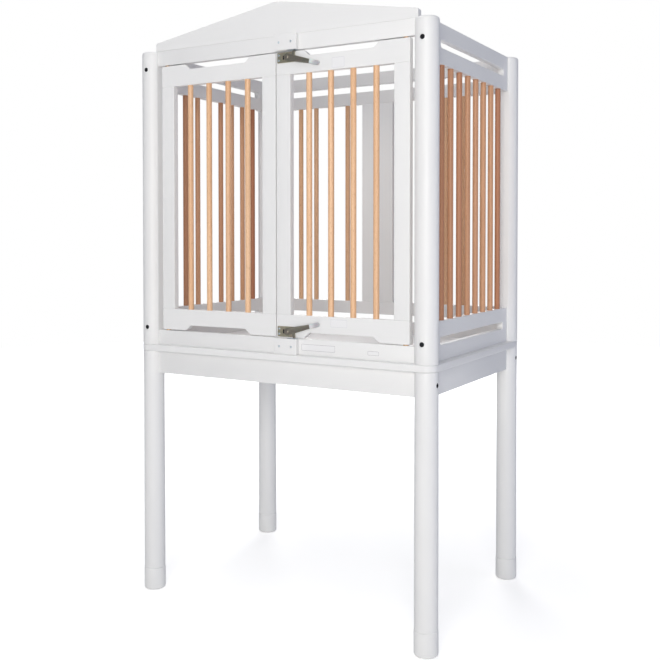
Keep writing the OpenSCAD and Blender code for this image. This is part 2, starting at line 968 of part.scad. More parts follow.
// ---------------------------------------------------------------- fasteners

module nut_hole() {
    past_face = 4;
    translate([-past_face, 0, 0])
        rod_x(nut_len + 2 * past_face, nut_d / 2 + fit_play);
}

module frame_bolts() {
    color(black_steel) {
        each_side_bolt()
            bolt(post_r, post_flat);
        each_apron_bolt()
            bolt(leg_r, leg_flat);
    }
}

module barrel_nuts() {
    color(zinc) {
        each_side_nut()
            barrel_nut();
        each_apron_nut()
            barrel_nut();
    }
}

module barrel_nut() {
    difference() {
        rod_x(nut_len, nut_d / 2);
        translate([nut_mid, 0, 0])
            rod_z(nut_d + 2, bolt_d / 2 + fit_play / 5);
    }
}

module corner_studs() {
    color(zinc)
        for (c = corners)
            translate([c[0] * half_x, c[1] * half_y, platform_z - stud_in_leg])
                cylinder(h = stud_in_leg + platform_t + stud_in_post, r = stud_d / 2);
}

module frame_dowels() {
    color(beech)
        for (p = frame_dowel_places)
            dowel_at(p, dowel_r, dowel_len);
}

corner_post(-1, -1);  // post_front_left
corner_post(1, -1);  // post_front_right
corner_post(-1, 1);  // post_back_left
corner_post(1, 1);  // post_back_right
corner_leg(-1, -1);  // leg_front_left
corner_leg(1, -1);  // leg_front_right
corner_leg(-1, 1);  // leg_back_left
corner_leg(1, 1);  // leg_back_right
foot_sleeve(-1, -1);  // foot_front_left
foot_sleeve(1, -1);  // foot_front_right
foot_sleeve(-1, 1);  // foot_back_left
foot_sleeve(1, 1);  // foot_back_right
platform_board();
apron_x(-1);  // apron_front
apron_x(1);  // apron_back
apron_y(-1);  // apron_left
apron_y(1);  // apron_right
front_rail(front_rail_mids[1]);  // front_top_rail
front_pediment();
front_rail(front_rail_mids[0]);  // front_bottom_rail
back_rail(high_grip_mid);  // back_top_rail
back_rail(low_grip_mid);  // back_bottom_rail
back_centre_board();
bars_at(back_bar_places, grip_bar_z0, grip_bar_z1);  // back_bars
side_rail(-1, high_grip_mid);  // left_top_rail
side_rail(-1, low_grip_mid);  // left_bottom_rail
bars_at(left_bar_places, grip_bar_z0, grip_bar_z1);  // left_bars
side_rail(1, high_grip_mid);  // right_top_rail
side_rail(1, low_grip_mid);  // right_bottom_rail
bars_at(right_bar_places, grip_bar_z0, grip_bar_z1);  // right_bars
on_left() door_rail(1, false);  // left_door_top_rail
on_left() door_rail(-1, false);  // left_door_bottom_rail
on_left() door_stile(door_out - stile_w / 2);  // left_door_hinge_stile
on_left() door_stile(door_in + stile_w / 2);  // left_door_closing_stile
on_left() bars_at(door_bar_places, stile_z0, stile_z1);  // left_door_bars
on_left() door_dowels();  // left_door_dowels
door_rail(1, true);  // right_door_top_rail
door_rail(-1, true);  // right_door_bottom_rail
door_stile(door_out - stile_w / 2);  // right_door_hinge_stile
door_stile(door_in + stile_w / 2);  // right_door_closing_stile
bars_at(door_bar_places, stile_z0, stile_z1);  // right_door_bars
door_dowels();  // right_door_dowels
hinge_pins();
hinge_washers();
latch_plate();  // top_latch_plate
latch_lever();  // top_latch_lever
latch_grip();  // top_latch_grip
at_bottom() latch_plate();  // bottom_latch_plate
at_bottom() latch_lever();  // bottom_latch_lever
at_bottom() latch_grip();  // bottom_latch_grip
at_both_ends() latch_pivot();  // latch_pivots
at_both_ends() latch_screw_set();  // latch_screws
strike_block();  // top_strike_block
at_bottom() strike_block();  // bottom_strike_block
at_both_ends() strike_plate();  // strike_plates
at_both_ends() strike_screw_set();  // strike_screws
frame_bolts();
barrel_nuts();
corner_studs();
frame_dowels();
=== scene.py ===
import math

import bmesh
import bpy
import numpy as np
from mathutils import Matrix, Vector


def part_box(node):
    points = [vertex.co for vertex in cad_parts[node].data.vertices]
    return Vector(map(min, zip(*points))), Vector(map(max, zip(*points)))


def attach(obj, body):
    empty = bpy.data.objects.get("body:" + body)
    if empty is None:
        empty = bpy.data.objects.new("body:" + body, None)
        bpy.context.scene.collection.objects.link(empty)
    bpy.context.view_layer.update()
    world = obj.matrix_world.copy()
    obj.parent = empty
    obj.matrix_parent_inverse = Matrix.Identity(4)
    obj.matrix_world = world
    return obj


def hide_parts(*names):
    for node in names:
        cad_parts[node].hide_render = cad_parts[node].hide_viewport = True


# Raised nursery cot: white lacquered frame, beech bars, two front doors with lever latches.
# Everything is in metres, in the frame of the loaded model.

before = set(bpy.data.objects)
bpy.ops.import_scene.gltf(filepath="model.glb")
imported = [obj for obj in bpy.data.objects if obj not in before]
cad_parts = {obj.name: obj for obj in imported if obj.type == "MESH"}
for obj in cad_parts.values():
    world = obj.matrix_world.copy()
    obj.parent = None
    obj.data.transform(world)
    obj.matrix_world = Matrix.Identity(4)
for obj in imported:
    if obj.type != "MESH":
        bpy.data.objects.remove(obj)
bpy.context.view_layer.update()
print("frame loaded,", len(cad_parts), "nodes")


cameraSizes = {
    "place": (1.4653, -2.5249, 1.1232),
    "turn": 29.885,          # degrees to the left of straight ahead
    "dip": 1.246,            # degrees below level
    "lens": 49.23,
    "sensor": 36,            # mm, as the lens
    "farthest": 60,
    "shift": (-0.0103, -0.1116),
}


def addCamera(sizes):
    data = bpy.data.cameras.new("camera")
    data.sensor_width = sizes["sensor"]
    data.lens = sizes["lens"]
    data.shift_x, data.shift_y = sizes["shift"]
    data.clip_end = sizes["farthest"]
    camera = bpy.data.objects.new("camera", data)
    camera.location = sizes["place"]
    camera.rotation_euler = (math.radians(90 - sizes["dip"]), 0, math.radians(sizes["turn"]))
    bpy.context.collection.objects.link(camera)
    bpy.context.scene.camera = camera


addCamera(cameraSizes)
print("camera placed")


class Wire:
    # One output socket; the operators add Math nodes
    def __init__(self, paint, socket):
        self.paint = paint
        self.socket = socket

    def maths(self, operation, first, second):
        return self.paint.add("ShaderNodeMath", {"operation": operation}, {0: first, 1: second})

    def __add__(self, other):
        return self.maths("ADD", self, other)

    def __radd__(self, other):
        return self.maths("ADD", other, self)

    def __sub__(self, other):
        return self.maths("SUBTRACT", self, other)

    def __rsub__(self, other):
        return self.maths("SUBTRACT", other, self)

    def __mul__(self, other):
        return self.maths("MULTIPLY", self, other)

    def over(self, edge, softness):
        # 0 below the edge, 1 above it, with a straight ramp between
        ramp = (self - (edge - softness)) * (1 / (2 * softness))
        ramp.socket.node.use_clamp = True
        return ramp


class Paint:
    # One material: its shader, and a way to add any node
    def __init__(self, name, **constants):
        self.material = bpy.data.materials.new(name)
        self.material.use_nodes = True
        self.tree = self.material.node_tree
        self.shader = self.tree.nodes["Principled BSDF"]
        for socket, value in constants.items():
            self.shader.inputs[socket.replace("_", " ")].default_value = value

    def add(self, kind, settings=None, inputs=None, output=0):
        node = self.tree.nodes.new(kind)
        for setting, value in (settings or {}).items():
            if setting == "stops":
                elements = node.color_ramp.elements
                while len(elements) < len(value):
                    elements.new(0.5)
                for element, (place, colour) in zip(elements, value):
                    element.position = place
                    element.color = (*colour, 1)
            else:
                setattr(node, setting, value)
        self.fill(node, inputs or {})
        return Wire(self, node.outputs[output])

    def fill(self, node, inputs):
        for key, value in inputs.items():
            if isinstance(value, Wire):
                self.tree.links.new(value.socket, node.inputs[key])
            elif isinstance(value, (tuple, list)) and len(node.inputs[key].default_value) == 4:
                node.inputs[key].default_value = (*value[:3], 1)
            else:
                node.inputs[key].default_value = value

    def place(self, stretch=(1, 1, 1)):
        # object coordinates, in metres, stretched for the pattern that reads them
        where = self.add("ShaderNodeTexCoord", output="Object")
        return self.add("ShaderNodeMapping", None, {"Vector": where, "Scale": stretch})

    def noise(self, stretch, detail=3.0, rough=0.55, bend=0.0):
        return self.add("ShaderNodeTexNoise", None, {
            "Vector": self.place(stretch), "Scale": 1.0, "Detail": detail,
            "Roughness": rough, "Distortion": bend})

    def mix(self, amount, first, second):
        # colours only: sockets 6 and 7 of the node are its two colours
        return self.add("ShaderNodeMix", {"data_type": "RGBA"},
                        {0: amount, 6: first, 7: second}, output=2)

    def attribute(self, name):
        return self.add("ShaderNodeAttribute", {"attribute_name": name}, output="Fac")

    def bump(self, height, strength, distance):
        return self.add("ShaderNodeBump", None,
                        {"Height": height, "Strength": strength, "Distance": distance})

    def wear(self, **inputs):
        self.fill(self.shader, {key.replace("_", " "): value for key, value in inputs.items()})
        return self.material


lacquerLook = {
    "body": (0.845, 0.845, 0.838),
    "shade": (0.815, 0.815, 0.812),
    "pore": (0.70, 0.69, 0.66),
    "poreStretch": {"x": (9, 150, 150), "y": (150, 9, 150), "z": (150, 150, 9)},
}


def lacquerPaint(name, grain, look=lacquerLook):
    # closed-pore lacquer: a ghost of the grain along the piece, orange peel, slow tone drift
    paint = Paint(name, IOR=1.48)
    pores = paint.noise(look["poreStretch"][grain], detail=4.0, bend=0.3)
    drift = paint.noise((2.2, 2.2, 2.2), detail=2.0)
    peel = paint.noise((420, 420, 420), detail=1.0)
    tone = paint.mix(drift.over(0.5, 0.22), look["shade"], look["body"])
    tone = paint.mix(pores.over(0.62, 0.12) * 0.05, tone, look["pore"])
    gloss = 0.36 + drift * 0.1 + pores * 0.05
    relief = pores * 0.7 + peel * 0.3
    return paint.wear(Base_Color=tone, Roughness=gloss, Normal=paint.bump(relief, 0.12, 0.0004))


beechLook = {
    "pale": (0.90, 0.60, 0.375),
    "warm": (0.84, 0.51, 0.285),
    "streak": (0.66, 0.36, 0.18),
    "fleck": (0.46, 0.23, 0.11),
    "dark": (0.42, 0.165, 0.08),
}


def beechPaint(look=beechLook):
    # each bar has its own tone, random within its panel's range, and the side bars' darker range
    # is painted shade; streaks and short ray flecks run up it
    paint = Paint("beechVarnish", IOR=1.5)
    tone = paint.attribute("barTone")
    streaks = paint.noise((170, 170, 3.2), detail=5.0, rough=0.62, bend=0.35)
    bands = paint.noise((34, 34, 0.9), detail=2.0, bend=0.2)
    flecks = paint.noise((900, 900, 85), detail=1.0)
    wood = paint.mix(bands.over(0.5, 0.2), look["pale"], look["warm"])
    wood = paint.mix(streaks.over(0.56, 0.12) * 0.55, wood, look["streak"])
    wood = paint.mix(flecks.over(0.66, 0.05) * 0.55, wood, look["fleck"])
    # the bar's tone darkens the wood: random per bar, plus painted shade on the side panels and a
    # little on the back
    wood = paint.mix(tone, wood, look["dark"])
    relief = streaks * 0.6 + flecks * 0.4
    return paint.wear(Base_Color=wood, Roughness=0.40 + streaks * 0.12,
                      Normal=paint.bump(relief, 0.25, 0.0002))


plateLook = {"green": (0.50, 0.49, 0.35), "yellow": (0.62, 0.57, 0.40), "pink": (0.60, 0.50, 0.38),
             "brushed": 0.25, "groove": (0.20, 0.19, 0.16)}
leverLook = {"green": (0.33, 0.33, 0.26), "yellow": (0.40, 0.37, 0.29), "pink": (0.37, 0.31, 0.26),
             "brushed": 0.45, "groove": (0.20, 0.19, 0.16)}


def zincPaint(name, look):
    # yellow passivated zinc: greenish and pinkish clouds over fine brushing along the part
    paint = Paint(name, Metallic=1.0)
    clouds = paint.noise((70, 70, 70), detail=2.0, bend=0.6)
    brushing = paint.noise((60, 60, 1300), detail=3.0)
    stops = [(0.32, look["green"]), (0.50, look["yellow"]), (0.68, look["pink"])]
    colour = paint.add("ShaderNodeValToRGB", {"stops": stops}, {"Fac": clouds})
    colour = paint.mix(brushing.over(0.5, 0.2) * look["brushed"], colour, look["groove"])
    return paint.wear(Base_Color=colour, Roughness=0.32 + brushing * 0.18,
                      Normal=paint.bump(brushing, 0.3, 0.0001))


def screwPaint():
    # bright bluish zinc with a fine grain
    paint = Paint("blueZinc", Metallic=1.0)
    grain = paint.noise((900, 900, 900), detail=2.0)
    colour = paint.mix(grain, (0.52, 0.60, 0.66), (0.68, 0.73, 0.76))
    return paint.wear(Base_Color=colour, Roughness=0.24 + grain * 0.14,
                      Normal=paint.bump(grain, 0.15, 0.0001))


def brassPaint():
    # brass with brown tarnish and turning marks round it
    paint = Paint("dullBrass", Metallic=1.0)
    tarnish = paint.noise((220, 220, 220), detail=3.0, bend=0.5)
    turning = paint.noise((40, 40, 2600), detail=1.0)
    colour = paint.mix(tarnish.over(0.5, 0.2), (0.78, 0.50, 0.25), (0.56, 0.33, 0.16))
    return paint.wear(Base_Color=colour, Roughness=0.34 + tarnish * 0.2,
                      Normal=paint.bump(turning, 0.2, 0.0001))


def blackPaint():
    # black oxide with slightly bare, brighter patches
    paint = Paint("blackOxide", Metallic=0.7)
    rub = paint.noise((500, 500, 500), detail=3.0)
    colour = paint.mix(rub.over(0.64, 0.1) * 0.5, (0.030, 0.030, 0.034), (0.13, 0.13, 0.14))
    return paint.wear(Base_Color=colour, Roughness=0.48 - rub * 0.2,
                      Normal=paint.bump(rub, 0.2, 0.0001))


def gripPaint():
    # milky plastic, solid white over the steel and clearer towards the tip
    paint = Paint("milkyPlastic", IOR=1.46, Transmission_Weight=0.22, Subsurface_Weight=0.25,
                  Subsurface_Scale=0.004)
    along = paint.attribute("along")
    haze = paint.noise((160, 160, 160), detail=2.0)
    colour = paint.mix(along.over(0.45, 0.2), (0.88, 0.89, 0.89), (0.52, 0.52, 0.55))
    colour = paint.mix(haze.over(0.55, 0.25) * 0.2, colour, (0.80, 0.80, 0.82))
    return paint.wear(Base_Color=colour, Roughness=0.26 + haze * 0.16,
                      Normal=paint.bump(haze, 0.1, 0.0002))


def stickerPaint(name, ink):
    # blank vinyl with a thin frame line, from each point's distance to the edge
    paint = Paint(name, IOR=1.45)
    sheet = paint.attribute("edgeGap")
    haze = paint.noise((60, 60, 60), detail=2.0)
    line = sheet.over(0.0012, 0.00012) * (1 - sheet.over(0.0018, 0.00012))
    colour = paint.mix(haze, (0.86, 0.86, 0.86), (0.83, 0.83, 0.84))
    colour = paint.mix(line, colour, ink)
    return paint.wear(Base_Color=colour, Roughness=0.28 + haze * 0.08)


lacquer = {grain: lacquerPaint("whiteLacquer" + grain.upper(), grain) for grain in "xyz"}
footLook = dict(lacquerLook, body=(0.825, 0.825, 0.815), shade=(0.80, 0.80, 0.795))
footLacquer = lacquerPaint("footLacquer", "z", footLook)
beech = beechPaint()
zinc = zincPaint("yellowZinc", plateLook)
leverZinc = zincPaint("brushedZinc", leverLook)
screwSteel = screwPaint()
brass = brassPaint()
blackOxide = blackPaint()
milky = gripPaint()
railSticker = stickerPaint("railSticker", (0.26, 0.24, 0.26))
doorSticker = stickerPaint("doorSticker", (0.62, 0.62, 0.64))
print("materials made")


def nodeBox(node):
    low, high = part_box(node)
    return np.array(low), np.array(high)


def fullTurn(steps):
    return np.linspace(0, 2 * math.pi, steps, endpoint=False)


def quadsBetween(here, ahead):
    quads = np.stack([here, np.roll(here, -1, 1), np.roll(ahead, -1, 1), ahead], axis=-1)
    return quads.reshape(-1, 4).tolist()


def shell(rings, looped=False):
    # rings of points joined one to the next; shut by a face at both ends, or by the first ring
    count, around = rings.shape[:2]
    index = np.arange(count * around).reshape(count, around)
    here = index if looped else index[:-1]
    ahead = np.roll(index, -1, axis=0) if looped else index[1:]
    ends = [] if looped else [index[0][::-1].tolist(), index[-1].tolist()]
    return rings.reshape(-1, 3), quadsBetween(here, ahead) + ends


def roundedRect(low, high, corner, arcSteps=5):
    # quarter arcs about four corner centres, counter-clockwise from the lower right
    low, high = np.array(low, float), np.array(high, float)
    middle, half = (low + high) / 2, (high - low) / 2 - corner
    turn = np.linspace(0, math.pi / 2, arcSteps + 1)
    angle = np.concatenate([turn - math.pi / 2, turn, turn + math.pi / 2, turn + math.pi])
    side = np.repeat([[1, -1], [1, 1], [-1, 1], [-1, -1]], arcSteps + 1, axis=0)
    return middle + side * half + corner * np.column_stack([np.cos(angle), np.sin(angle)])


def inset(outline, distance):
    # every corner moves in along the mitre of its two edges
    edge = np.roll(outline, -1, axis=0) - outline
    edge /= np.linalg.norm(edge, axis=1)[:, None]
    normal = np.column_stack([edge[:, 1], -edge[:, 0]])
    before = np.roll(normal, 1, axis=0)
    mitre = (normal + before) / (1 + (normal * before).sum(1))[:, None]
    return outline - distance * mitre


def order(axes):
    return ["xyz".index(axis) for axis in axes]


def lift(outline, level, axes):
    # a flat outline put at one level; axes names where its two directions and the level go
    ring = np.empty((len(outline), 3))
    ring[:, order(axes)] = np.column_stack([outline, np.full(len(outline), level)])
    return ring


def edgeCourse(near, far, rounding, steps=4, lip=0.0004):
    # how far in and at which level each ring of a rounded edge lies, face to face
    turn = np.linspace(0, math.pi / 2, steps + 1)
    draw = rounding * (1 - np.sin(turn))
    rise = rounding * (1 - np.cos(turn)) * np.sign(far - near)
    gap = np.concatenate([[rounding + lip], draw, draw[::-1], [rounding + lip]])
    level = np.concatenate([[near], near + rise, far - rise[::-1], [far]])
    return gap, level


def plate(outline, near, far, rounding, axes, steps=4):
    # the outline carried through its thickness, drawn in by a quarter circle at both faces
    gap, level = edgeCourse(near, far, rounding, steps)
    return shell(np.stack([lift(inset(outline, g), z, axes) for g, z in zip(gap, level)]))


def framedPlate(outline, hole, near, far, rounding, axes, holeRounding=None):
    # a plate with one opening: over the outer edge, back through the hole, and shut on itself
    gap, level = edgeCourse(near, far, rounding)
    holeGap, holeLevel = edgeCourse(far, near, holeRounding or rounding)
    outer = [lift(inset(outline, g), z, axes) for g, z in zip(gap, level)]
    inner = [lift(inset(hole, -g), z, axes) for g, z in zip(holeGap, holeLevel)]
    return shell(np.stack(outer + inner), looped=True)


def board(low, high, along, rounding, endRounding=0.0004):
    # a rounded rectangle carried along the board, its ends only just eased
    axes = {"x": "yzx", "y": "xzy", "z": "xyz"}[along]
    low, high = low[order(axes)], high[order(axes)]
    outline = roundedRect(low[:2], high[:2], rounding)
    gap, level = edgeCourse(low[2], high[2], endRounding, steps=2)
    rings = [lift(inset(outline, min(g, endRounding)), z, axes)
             for g, z in zip(gap[1:-1], level[1:-1])]
    return shell(np.stack(rings))


def turned(profile, centre, around=40):
    # a profile of radius and height carried round an upright axis
    profile = np.array(profile, float)
    angle = fullTurn(around)
    radius, height = profile[:, :1], profile[:, 1:]
    rings = np.stack([radius * np.cos(angle), radius * np.sin(angle), height + 0 * angle], axis=-1)
    return shell(rings + np.array(centre))


def addPiece(name, shapes, body, slotName, paint, nodes=(), sharp=38, **attributes):
    # joins closed shells into one mesh, turns their faces outwards and hands it to a body
    points, faces, start = [], [], 0
    for part, partFaces in shapes:
        points.append(part)
        faces += [[corner + start for corner in face] for face in partFaces]
        start += len(part)
    mesh = bpy.data.meshes.new(name)
    mesh.from_pydata(np.concatenate(points).tolist(), [], faces)
    tidy = bmesh.new()
    tidy.from_mesh(mesh)
    bmesh.ops.recalc_face_normals(tidy, faces=tidy.faces)
    tidy.to_mesh(mesh)
    tidy.free()
    mesh.shade_smooth()
    mesh.set_sharp_from_angle(angle=math.radians(sharp))
    for attribute, values in attributes.items():
        layer = mesh.attributes.new(attribute, "FLOAT", "POINT")
        layer.data.foreach_set("value", np.asarray(values, np.float32))
    mesh.materials.append(paint)
    piece = bpy.data.objects.new(name, mesh)
    bpy.context.collection.objects.link(piece)
    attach(piece, body)
    if nodes:
        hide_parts(*nodes)


def addWood(name, shape, grain, node, body="frame", sharp=38):
    addPiece(name, [shape], body, "lacquered_wood", lacquer[grain], [node], sharp)


postSizes = {"radius": 0.033, "flat": 0.03005, "topRounding": 0.008, "seam": 0.0006,
             "boreRadius": 0.0070, "boreChamfer": 0.0005, "boreFloor": 0.0065, "boltRise": 0.055}
legSizes = {"radius": 0.0325, "seam": 0.0008}
footSizes = {"radius": 0.0335, "bottomRounding": 0.006, "topRounding": 0.0012}
angleSteps = 96
patchReach = 4      # grid steps from a bore's middle to the edge of its patch


def flatReach(reach, angle, flats, flatAt):
    # the round section, cut straight across on the half that faces each flat
    facing = 0.5
    for flat in flats:
        lean = np.cos(angle - flat)
        cut = flatAt / np.maximum(lean, facing)
        reach = np.where(lean > facing, np.minimum(reach, cut), reach)
    return reach


def column(centre, profile, bores, flats=(), flatAt=0.0, sizes=postSizes):
    # radius over height and angle; round each bore the grid gives way to rings about its middle
    levels, radii = np.array(profile).T
    full = radii.max()
    base = 2 * math.pi * np.arange(angleSteps) / angleSteps
    edge = math.acos(flatAt / full)
    angle = np.unique(np.round(np.concatenate(
        [base] + [[(flat - edge) % (2 * math.pi), (flat + edge) % (2 * math.pi)]
                  for flat in flats]), 7))
    step = np.arange(-patchReach, patchReach + 1)
    local = full * np.sin(2 * math.pi * step / angleSteps)
    heights = np.concatenate([levels] + [level + local for _, level in bores])
    heights = np.unique(np.round(heights, 7))
    reach = np.interp(heights, levels, radii)[:, None] + 0 * angle
    reach = flatReach(reach, angle, flats, flatAt)
    rings = np.stack([centre[0] + reach * np.cos(angle), centre[1] + reach * np.sin(angle),
                      heights[:, None] + 0 * angle], axis=-1)
    points, faces = shell(rings)
    around, floor = len(angle), full - sizes["boreFloor"]
    keep = np.ones((len(heights) - 1, around), bool)
    walk = np.arange(-patchReach, patchReach)
    ends = np.full(2 * patchReach, patchReach)
    across = np.concatenate([walk, ends, -walk, -ends])
    upward = np.concatenate([-ends, walk, ends, -walk])
    patches = []
    for boreAngle, boreLevel in bores:
        column0 = int(np.argmin(np.abs(angle - boreAngle % (2 * math.pi))))
        row0 = int(np.argmin(np.abs(heights - boreLevel)))
        keep[np.ix_(row0 + walk, (column0 + walk) % around)] = False
        border = (row0 + upward) * around + (column0 + across) % around
        square = np.column_stack([local[across + patchReach], local[upward + patchReach]])
        spoke = square / np.linalg.norm(square, axis=1)[:, None]
        rim = sizes["boreRadius"] + sizes["boreChamfer"]
        outer, inner = spoke * rim, spoke * sizes["boreRadius"]
        onFace = np.sqrt(full ** 2 - outer[:, 0] ** 2)
        inHole = np.sqrt(full ** 2 - inner[:, 0] ** 2) - sizes["boreChamfer"]
        half = (square + outer) / 2
        courses = [(half, np.sqrt(full ** 2 - half[:, 0] ** 2)), (outer, onFace), (inner, inHole),
                   (inner, np.full(len(inner), floor))]
        out = np.array([math.cos(boreAngle), math.sin(boreAngle), 0])
        side = np.array([-math.sin(boreAngle), math.cos(boreAngle), 0])
        middle = np.array([*centre, boreLevel])
        up = np.array([0, 0, 1])
        rows = [middle + depth[:, None] * out + flat[:, :1] * side + flat[:, 1:] * up
                for flat, depth in courses]
        patches.append((border, np.stack(rows)))
    quads = [face for face, kept in zip(faces[:-2], keep.ravel()) if kept]
    allPoints, allFaces = [points], quads + faces[-2:]
    total = len(points)
    for border, rows in patches:
        index = np.vstack([border, total + np.arange(rows[..., 0].size).reshape(rows.shape[:2])])
        allFaces += quadsBetween(index[:-1], index[1:]) + [index[-1].tolist()]
        allPoints.append(rows.reshape(-1, 3))
        total += rows[..., 0].size
    joined = np.concatenate(allPoints)
    used = np.unique(np.concatenate([np.array(face) for face in allFaces]))
    renumber = np.zeros(len(joined), int)
    renumber[used] = np.arange(len(used))
    return joined[used], [renumber[face].tolist() for face in allFaces]


def quarterRound(level, radius, rounding, upward, steps=6):
    # height and radius of an edge rounded from its side to its end face
    turn = np.linspace(0, math.pi / 2, steps + 1)
    course = np.column_stack([level - upward * rounding * (1 - np.sin(turn)),
                              radius - rounding * (1 - np.cos(turn))])
    return course if upward > 0 else course[::-1]


sideMids = [nodeBox("left_" + end + "_rail")[0][2] + postSizes["boltRise"]
            for end in ("bottom", "top")]
apronMid = (nodeBox("apron_left")[0][2] + nodeBox("apron_left")[1][2]) / 2
corners = [("front_left", -1, -1), ("front_right", 1, -1), ("back_left", -1, 1),
           ("back_right", 1, 1)]


def postCentre(corner, sideX, sideY, radius=postSizes["radius"]):
    low, high = nodeBox("post_" + corner)
    return (high[0] - radius if sideX > 0 else low[0] + radius,
            high[1] - radius if sideY > 0 else low[1] + radius)


for corner, sideX, sideY in corners:
    tag = corner.title().replace("_", "")
    centre = postCentre(corner, sideX, sideY)
    flats = [0 if sideX < 0 else math.pi, math.pi / 2 if sideY < 0 else -math.pi / 2]
    # post
    radius = postSizes["radius"]
    low, high = nodeBox("post_" + corner)
    profile = np.vstack([quarterRound(low[2], radius, postSizes["seam"], -1, 2),
                         quarterRound(high[2], radius, postSizes["topRounding"], 1)])
    facing = -math.pi / 2 if sideY < 0 else math.pi / 2
    bores = [(facing, level) for level in sideMids]
    addWood("post" + tag, column(centre, profile, bores, flats, postSizes["flat"]), "z",
            "post_" + corner, sharp=34)
    # leg, from the top of its foot; the spigot inside the foot stays out of sight
    radius = legSizes["radius"]
    legHigh = nodeBox("leg_" + corner)[1]
    footLow, footHigh = nodeBox("foot_" + corner)
    profile = np.vstack([quarterRound(footHigh[2], radius, legSizes["seam"], -1, 2),
                         quarterRound(legHigh[2], radius, legSizes["seam"], 1, 2)])
    bores = [(0 if sideX > 0 else math.pi, apronMid)]
    addWood("leg" + tag, column(centre, profile, bores), "z", "leg_" + corner, sharp=34)
    # foot
    radius = footSizes["radius"]
    profile = np.vstack([quarterRound(footLow[2], radius, footSizes["bottomRounding"], -1),
                         quarterRound(footHigh[2], radius, footSizes["topRounding"], 1, 4)])
    addPiece("foot" + tag, [turned(profile[:, ::-1], (*centre, 0), angleSteps)], "frame",
             "foot_lacquer", footLacquer, ["foot_" + corner])
print("posts, legs and feet made")


boardSizes = {"rounding": 0.0015, "platformRounding": 0.004, "platformSteps": 6,
              "platformArcSteps": 16, "slotInset": 0.038, "slotHeight": 0.022,
              "slotCorner": 0.009, "slotRounding": 0.0022}

low, high = nodeBox("platform_board")
platformOutline = roundedRect(low[:2], high[:2], postSizes["radius"],
                              boardSizes["platformArcSteps"])
addWood("platformBoard",
        plate(platformOutline, low[2], high[2], boardSizes["platformRounding"], "xyz",
              boardSizes["platformSteps"]), "x", "platform_board")

plainBoards = {"apronFront": ("apron_front", "x"), "apronBack": ("apron_back", "x"),
               "apronLeft": ("apron_left", "y"), "apronRight": ("apron_right", "y"),
               "frontTopRail": ("front_top_rail", "x"),
               "frontBottomRail": ("front_bottom_rail", "x"),
               "backCentreBoard": ("back_centre_board", "z")}
for name, (node, grain) in plainBoards.items():
    addWood(name, board(*nodeBox(node), grain, boardSizes["rounding"]), grain, node)

for end in ("top", "bottom"):
    for side, grain, axes in (("left", "y", "yzx"), ("right", "y", "yzx"), ("back", "x", "xzy")):
        node = side + "_" + end + "_rail"
        low, high = nodeBox(node)
        low, high = low[order(axes)], high[order(axes)]
        outline = roundedRect(low[:2], high[:2], boardSizes["rounding"])
        middle = (low[1] + high[1]) / 2
        reach = boardSizes["slotHeight"] / 2
        hole = roundedRect((low[0] + boardSizes["slotInset"], middle - reach),
                           (high[0] - boardSizes["slotInset"], middle + reach),
                           boardSizes["slotCorner"])
        addWood(side + end.capitalize() + "Rail",
                framedPlate(outline, hole, low[2], high[2], boardSizes["rounding"], axes,
                            boardSizes["slotRounding"]), grain, node)
print("platform and rails made")


pedimentSizes = {"endHeight": 0.026, "peakRadius": 0.120, "cornerRadius": 0.008, "steps": 14}


def gableOutline(low, high, sizes):
    # straight slopes, tangent to an arc at the peak and to one at each end
    half, tall = (high[0] - low[0]) / 2, high[2] - low[2]
    peak, corner, steps = sizes["peakRadius"], sizes["cornerRadius"], sizes["steps"]
    rise = tall - peak - sizes["endHeight"]
    slope = math.atan2(rise, half) + math.asin(peak / math.hypot(half, rise))
    endCentre = np.array([half - corner, sizes["endHeight"]
                          - corner * (1 - math.sin(slope)) / math.cos(slope)])
    turn = np.linspace(0, 1, steps + 1)
    endAngle = (math.pi / 2 - slope) * turn
    peakLean = slope * (1 - turn)
    endArc = endCentre + corner * np.column_stack([np.cos(endAngle), np.sin(endAngle)])
    peakArc = peak * np.column_stack([np.sin(peakLean), np.cos(peakLean)]) + [0, tall - peak]
    right = np.vstack([[[half, 0.0]], endArc, peakArc])
    left = right[-2::-1] * [-1, 1]
    return np.vstack([right, left]) + [(low[0] + high[0]) / 2, low[2]]


low, high = nodeBox("front_pediment")
addWood("pediment", plate(gableOutline(low, high, pedimentSizes), low[1], high[1],
                          boardSizes["rounding"], "xzy"), "x", "front_pediment")


barSizes = {
    "radius": 0.0085, "around": 32, "rings": 6,
    "drawIn": 0.010,         # each end stops this far inside its hole
    "backGap": 0.064,        # from the back board to the first bar
    "sideCount": 8, "backHalf": 5, "doorCount": 4,
    # the side bars' tones run much darker as painted shade, the back bars' a little darker too
    "doorTones": (0.0, 0.18), "sideShadedTones": (0.50, 1.0), "backTones": (0.05, 0.32),
}
toneDraw = np.random.default_rng(20)


def bars(name, node, body, places, toneAndShadeRange, sizes=barSizes):
    # round bars between two rails, each with its own random tone; the level of the tone range
    # paints each panel's shade
    low, high = nodeBox(node)
    levels = np.linspace(low[2] + sizes["drawIn"], high[2] - sizes["drawIn"], sizes["rings"])
    profile = [(sizes["radius"], level) for level in levels]
    shapes, tonesAndShade = [], []
    for x, y in places:
        shapes.append(turned(profile, (x, y, 0), around=sizes["around"]))
        tonesAndShade += [toneDraw.uniform(*toneAndShadeRange)] * (len(profile) * sizes["around"])
    addPiece(name, shapes, body, "beech", beech, [node], barTone=tonesAndShade)


def spread(node, axis, count):
    # bar middles evenly across the node's box
    low, high = nodeBox(node)
    return np.linspace(low[axis] + barSizes["radius"], high[axis] - barSizes["radius"], count)


